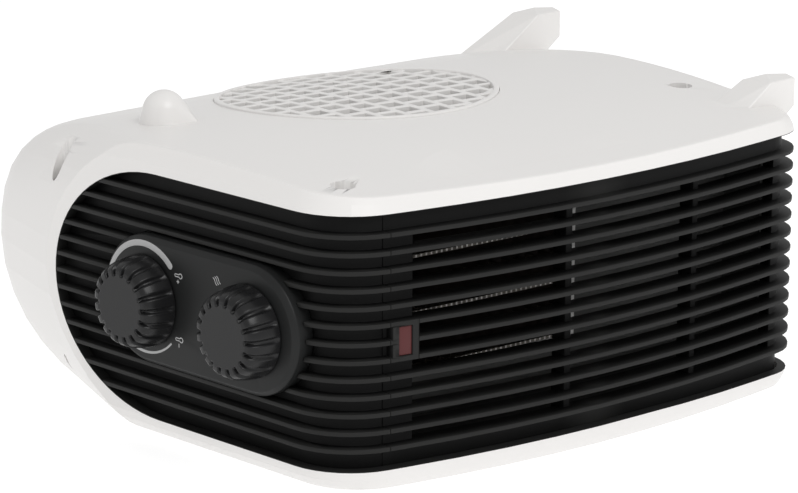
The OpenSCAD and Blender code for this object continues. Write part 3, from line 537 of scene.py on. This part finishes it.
def model_knob(sizes, low, high):
    """Round knob with a flat face, a full shoulder and finger grooves, standing along Z."""
    columns = PITCH_POINTS * sizes.grooves
    high -= sizes.knob_drop
    skirt = low + 0.6 * MM
    bpy.ops.object.select_all(action="DESELECT")
    bpy.ops.mesh.primitive_cylinder_add(
        vertices=columns, radius=sizes.knob_radius, depth=skirt - low,
        location=(0, 0, (low + skirt) / 2), end_fill_type="NGON")
    knob = bpy.context.object
    bpy.ops.object.transform_apply(location=True)
    start(knob)

    # Rings of the shoulder and the face: radius, height, lean and share of the groove's depth
    reach = sizes.knob_radius - sizes.face_radius
    rise = high - skirt
    rings = []
    for step in range(1, 8):
        lean = radians(11.25 * step)
        rings.append((sizes.face_radius + reach * cos(lean) ** 0.8,
                      skirt + rise * sin(lean) ** 1.1, lean, 0.5 + 0.06 * step))
    rings.append((sizes.face_radius, high - 0.1 * MM, pi / 2, 0.98))
    for inset, share in ((0.3, 1), (0.8, 0.9), (1.1, 0), (1.5, 0), (4, 0)):
        rings.append((sizes.face_radius - inset * MM, high, pi / 2, share))
    pick_faces(knob, lambda centre, normal: normal.z > 0.9)
    draw_cap([ring[:2] for ring in rings], sizes.knob_radius, skirt)

    # Bore for the spindle, in a recessed underside
    pick_faces(knob, lambda centre, normal: normal.z < -0.9)
    hollow = [(sizes.knob_radius - 0.3 * MM, low), (sizes.knob_radius - 1.8 * MM, low),
              (sizes.knob_radius - 2 * MM, low + 0.5 * MM), (6 * MM, low + 0.6 * MM),
              (3.2 * MM, low + 0.6 * MM), (3.1 * MM, low + 1 * MM), (3.1 * MM, low + 9 * MM)]
    draw_cap(hollow, sizes.knob_radius, low)

    # Grooves, pushed in ring by ring and deepest where they start on the face
    for radius, height, lean, share in rings:
        if share:
            depth = share * sizes.groove_depth
            inner = 1 - depth * cos(lean) / radius
            pick_groove(knob, columns, radius, height)
            bpy.ops.transform.resize(value=(inner, inner, 1), center_override=(0, 0, 0))
            bpy.ops.transform.translate(value=(0, 0, -depth * sin(lean)))
    bpy.ops.object.mode_set(mode="OBJECT")
    apply_modifier(knob, "SUBSURF", levels=2, render_levels=2)
    return knob


def ink(name, strokes, height, place, material):
    """Printed strokes on a surface, each a row of points with a half width, as one piece."""
    curve = bpy.data.curves.new(name, "CURVE")
    curve.dimensions = "3D"
    curve.bevel_depth = 1
    curve.bevel_resolution = 3
    curve.use_fill_caps = True
    widest = 0
    for points, closed in strokes:
        spline = curve.splines.new("POLY")
        spline.points.add(len(points) - 1)
        for point, (x, y, half) in zip(spline.points, points):
            point.co = (x, y, 0, 1)
            point.radius = half
            widest = max(widest, half)
        spline.use_cyclic_u = closed
    select_alone(new_object(name, curve))
    bpy.ops.object.convert(target="MESH")
    piece = bpy.context.object

    # The round strokes are pressed flat, then laid on the surface
    piece.data.transform(Matrix.Diagonal((1, 1, height / widest, 1)))
    piece.data.transform(place)
    start(piece)
    bpy.ops.mesh.select_all(action="SELECT")
    bpy.ops.mesh.remove_doubles(threshold=0.002 * MM)
    bpy.ops.mesh.normals_make_consistent(inside=False)
    finish(piece, material, "housing")


def arc(radius, from_turn, to_turn, from_half, to_half, steps=72):
    """Points of an arc that grows from one half width to the other, with a round thick end."""
    points = []
    for step in range(steps + 1):
        share = step / steps
        turn = radians(from_turn + (to_turn - from_turn) * share)
        half = from_half + (to_half - from_half) * share
        points.append((radius * cos(turn), radius * sin(turn), half))
    turn = radians(to_turn)
    side = 1 if to_turn > from_turn else -1
    for step in range(1, 7):
        lean = radians(15 * step)
        on = side * to_half * sin(lean)
        points.append((radius * cos(turn) - on * sin(turn), radius * sin(turn) + on * cos(turn),
                       max(to_half * cos(lean), 0.02 * MM)))
    return points


def thermometer(x, y, half):
    """Outline of a lying thermometer with its bulb to the right."""
    # Each end: place along, radius, and its turn in degrees from, through and in how many steps
    ends = ((1.1 * MM, 0.9 * MM, -150, 300, 14), (-1.5 * MM, 0.5 * MM, 90, 180, 6))
    points = []
    for along, radius, first, sweep, steps in ends:
        for step in range(steps + 1):
            turn = radians(first + sweep * step / steps)
            points.append((x + along + radius * cos(turn), y + radius * sin(turn), half))
    return points


def stroke(x, y, heading, length, half, wave=0.0):
    """Points of a short stroke through (x, y), straight or waved."""
    points = []
    steps = 12
    for step in range(steps + 1):
        along = length * (step / steps - 0.5)
        aside = wave * sin(2 * pi * step / steps)
        points.append((x + along * cos(heading) - aside * sin(heading),
                       y + along * sin(heading) + aside * cos(heading), half))
    return points


class HEATER_OT_casing(bpy.types.Operator):
    """Finish the white casing and round the edges of its intake"""

    bl_idname = "heater.casing"
    bl_label = "White casing"

    def execute(self, context):
        scene = context.scene
        edge = scene.heater_sizes.lattice_edge
        white = plastic("shell_plastic", scene.heater_colours.shell, 0.34, 0.02, 0.15, 2600)

        # Rounding would tear the small features of the shells, so their edges stay sharp
        softened("upper_shell", white, 0, smooth=14)
        softened("lower_shell", white, 0, smooth=14)
        softened("intake_grille", white, edge)
        return {"FINISHED"}


class HEATER_OT_front(bpy.types.Operator):
    """Round the edges of the black ribs and line the lip of the opening"""

    bl_idname = "heater.front"
    bl_label = "Black front"

    def execute(self, context):
        scene = context.scene
        edge = scene.heater_sizes.rib_edge
        colours = scene.heater_colours
        black = plastic("black_plastic", colours.black, 0.5, 0.15, 0.25, 2600, specular=0.12,
                        painted_shade=colours.painted_shade)
        grille = softened("outlet_grille", black, edge, flat=0)
        fascia = softened("control_fascia", black, edge)
        # Depth behind the outline of the ribs, which sets where the black plastic gets its painted
        # shade
        measure_depth(grille, fascia)
        line_opening(black, scene.heater_sizes.rim_wall)
        return {"FINISHED"}


class HEATER_OT_controls(bpy.types.Operator):
    """Finish the control plate and print its scale and symbols"""

    bl_idname = "heater.controls"
    bl_label = "Control plate"

    def execute(self, context):
        sizes, colours = context.scene.heater_sizes, context.scene.heater_colours
        matt = plastic("plate_plastic", colours.plate, 0.4, 0.08, 0.5, 3000, specular=0.18)
        softened("control_plate", matt, sizes.plate_edge, segments=3, angle=20)
        grey = plastic("print_ink", colours.ink, 0.5, 0.05, 0.1, 3000)

        place = control_place("thermostat_turn")
        place.translation += place.to_3x3() @ Vector((0, 0, span("control_plate", place)[1]))
        scale = arc(sizes.scale_radius, 315, 46, 0.35 * MM, sizes.scale_width / 2)
        scale = [(x - 0.5 * MM, y + 0.8 * MM, half) for x, y, half in scale]
        ink("thermostat_scale", [(scale, False)], sizes.ink_height, place, grey)

        # Warmer above with a plus, cooler below with a minus, each beside a thermometer
        line = 0.2 * MM
        bar = 1.4 * MM
        marks = [(thermometer(18.6 * MM, 12.9 * MM, line), True),
                 (stroke(18.3 * MM, 10.6 * MM, 0, bar, line), False),
                 (stroke(18.3 * MM, 10.6 * MM, pi / 2, bar, line), False),
                 (thermometer(18.6 * MM, -11.5 * MM, line), True),
                 (stroke(18.4 * MM, -13.8 * MM, pi / 2, bar, line), False)]

        # Three waves of heat over the selector knob
        for row in (-1, 0, 1):
            marks.append((stroke((39.7 + 0.95 * row) * MM, (15.2 + 0.45 * row) * MM, radians(-50),
                                 3.4 * MM, 0.9 * line, 0.2 * MM), False))
        ink("control_symbols", marks, sizes.ink_height, place, grey)
        return {"FINISHED"}


class HEATER_OT_knobs(bpy.types.Operator):
    """Model the two grooved knobs and set them on their spindles"""

    bl_idname = "heater.knobs"
    bl_label = "Knobs"

    def execute(self, context):
        sizes, colours = context.scene.heater_sizes, context.scene.heater_colours
        satin = plastic("knob_plastic", colours.knob, 0.27, 0.06, 0.2, 3000, specular=0.27)
        place = control_place("thermostat_turn")
        master = model_knob(sizes, *span("thermostat_knob", place))
        master.name = "thermostat_knob_grooved"
        twin = new_object("selector_knob_grooved", master.data.copy())
        for knob, joint, node, body in (
                (master, "thermostat_turn", "thermostat_knob", "thermostat_dial"),
                (twin, "selector_turn", "selector_knob", "selector_dial")):
            knob.data.transform(control_place(joint))
            start(knob)
            finish(knob, satin, body, smooth=50)
            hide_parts(node)
        return {"FINISHED"}


class HEATER_OT_pilot(bpy.types.Operator):
    """Finish the pilot light behind its window"""

    bl_idname = "heater.pilot"
    bl_label = "Pilot light"

    def execute(self, context):
        scene = context.scene
        red = plastic("red_lens", scene.heater_colours.lens, 0.35, 0.3, 0.3, 900, specular=0.25)
        softened("pilot_lens", red, scene.heater_sizes.lens_edge, segments=3)
        give(plastic("lamp_glass", (0.5, 0.22, 0.1), 0.12, 0.2, 0.02), "pilot_lamp")
        return {"FINISHED"}


class HEATER_OT_inside(bpy.types.Operator):
    """Give the fan, the motor, the element and the wiring their finishes"""

    bl_idname = "heater.inside"
    bl_label = "Inner parts"

    def execute(self, context):
        give(plastic("duct_plastic", (0.05, 0.05, 0.048), 0.5, 0.1, dust=0.1), "air_guide",
             "cord_gland")
        give(plastic("housing_plastic", (0.66, 0.65, 0.64), 0.45, 0.08, dust=0.2),
             "scroll_housing", "scroll_cover")
        give(plastic("fan_plastic", (0.42, 0.42, 0.41), 0.4, 0.1, dust=0.2), "impeller")
        give(metal("steel", (0.60, 0.60, 0.61), (0.36, 0.34, 0.32)), "thermostat_spindle",
             "selector_spindle", "motor_shaft", "impeller_clip", "motor_screws", "shell_screws")
        give(metal("zinc_sheet", (0.58, 0.59, 0.60), (0.42, 0.42, 0.40), 0.42, 0.5, 0.1),
             "motor_brackets")
        give(metal("ribbon_alloy", (0.16, 0.14, 0.13), (0.07, 0.06, 0.06), 0.4, 0.7),
             "heater_ribbons")
        # The pale colour given to the mica is its painted highlight for the ribbon's bends
        give(mica("mica", (0.17, 0.15, 0.12), (0.07, 0.06, 0.05), (0.75, 0.73, 0.7), 2.4 * MM),
             "heater_frame")
        give(layered("core_sheets", (0.34, 0.34, 0.35), (0.10, 0.10, 0.11), 0.4, 0.5 * MM,
                     (0, 0, 1)), "motor_core", "motor_rotor")
        give(layered("coil_wire", (0.62, 0.26, 0.10), (0.22, 0.07, 0.03), 0.28, 0.4 * MM,
                     (1, 0, 0)), "motor_coil")
        give(ceramic("ceramic", (0.68, 0.64, 0.57)), "terminal_block", "thermal_cutout")
        give(plastic("switch_plastic", (0.55, 0.53, 0.48), 0.4, 0.05), "thermostat",
             "selector_switch")
        return {"FINISHED"}


class HEATER_OT_stage(bpy.types.Operator):
    """Set the floor, the lights and the camera"""

    bl_idname = "heater.stage"
    bl_label = "Stage and camera"

    def execute(self, context):
        scene = context.scene
        bpy.ops.object.select_all(action="DESELECT")
        bpy.ops.mesh.primitive_plane_add(size=12)
        floor = context.object
        floor.name = "floor"
        material, _, shader = new_material("pale_floor")
        shader.inputs["Base Color"].default_value = (*scene.heater_colours.floor, 1)
        shader.inputs["Roughness"].default_value = 0.9
        shader.inputs["Emission Color"].default_value = (1, 1, 1, 1)
        shader.inputs["Emission Strength"].default_value = FLOOR_GLOW
        shader.inputs["Specular IOR Level"].default_value = 0.1
        floor.data.materials.append(material)

        scene.view_settings.view_transform = "Standard"
        scene.world = scene.world or bpy.data.worlds.new("studio")
        scene.world.use_nodes = True
        background = scene.world.node_tree.nodes["Background"]
        background.inputs["Color"].default_value = (1, 1, 1, 1)
        background.inputs["Strength"].default_value = WORLD_STRENGTH

        # Each light: place, size in metres and power in watts
        middle = Vector((0, 0, 0.05))
        lights = [("key_light", (-0.35, -1.65, 1.75), 1.1, 18),
                  ("fill_light", (1.8, -1.3, 0.9), 1.4, 2)]
        for name, at, size, power in lights:
            light = bpy.data.lights.new(name, "AREA")
            light.size = size
            light.energy = power
            lamp = new_object(name, light)
            lamp.location = at
            lamp.rotation_euler = (middle - Vector(at)).to_track_quat("-Z", "Y").to_euler()

        # Camera as solved from the photo
        camera = bpy.data.cameras.new("photo_camera")
        camera.lens = 157.9
        camera.sensor_width = 36
        camera.clip_start = 0.05
        camera.clip_end = 50
        eye = new_object("photo_camera", camera)
        eye.location = (-0.84785, -1.04445, 0.40941)
        eye.rotation_euler = (radians(90 - 14.94), radians(-0.16), radians(-38.97))
        scene.camera = eye
        return {"FINISHED"}


class HEATER_PT_panel(bpy.types.Panel):
    """Steps that dress the heater"""

    bl_label = "Fan Heater"
    bl_idname = "HEATER_PT_panel"
    bl_space_type = "VIEW_3D"
    bl_region_type = "UI"
    bl_category = "Fan Heater"

    def draw(self, context):
        for step in STEPS:
            self.layout.operator(step.bl_idname)


STEPS = (HEATER_OT_casing, HEATER_OT_front, HEATER_OT_controls, HEATER_OT_knobs, HEATER_OT_pilot,
         HEATER_OT_inside, HEATER_OT_stage)
CLASSES = (HeaterSizes, HeaterColours, *STEPS, HEATER_PT_panel)


def register():
    """Registers the classes and their settings."""
    for made in CLASSES:
        bpy.utils.register_class(made)
    bpy.types.Scene.heater_sizes = bpy.props.PointerProperty(type=HeaterSizes)
    bpy.types.Scene.heater_colours = bpy.props.PointerProperty(type=HeaterColours)


def unregister():
    """Removes the classes and their settings."""
    del bpy.types.Scene.heater_colours
    del bpy.types.Scene.heater_sizes
    for made in reversed(CLASSES):
        bpy.utils.unregister_class(made)


def main():
    """Dresses the heater step by step."""
    register()
    bpy.ops.heater.casing()
    bpy.ops.heater.front()
    bpy.ops.heater.controls()
    bpy.ops.heater.knobs()
    bpy.ops.heater.pilot()
    bpy.ops.heater.inside()
    bpy.ops.heater.stage()


if __name__ == "__main__":
    main()
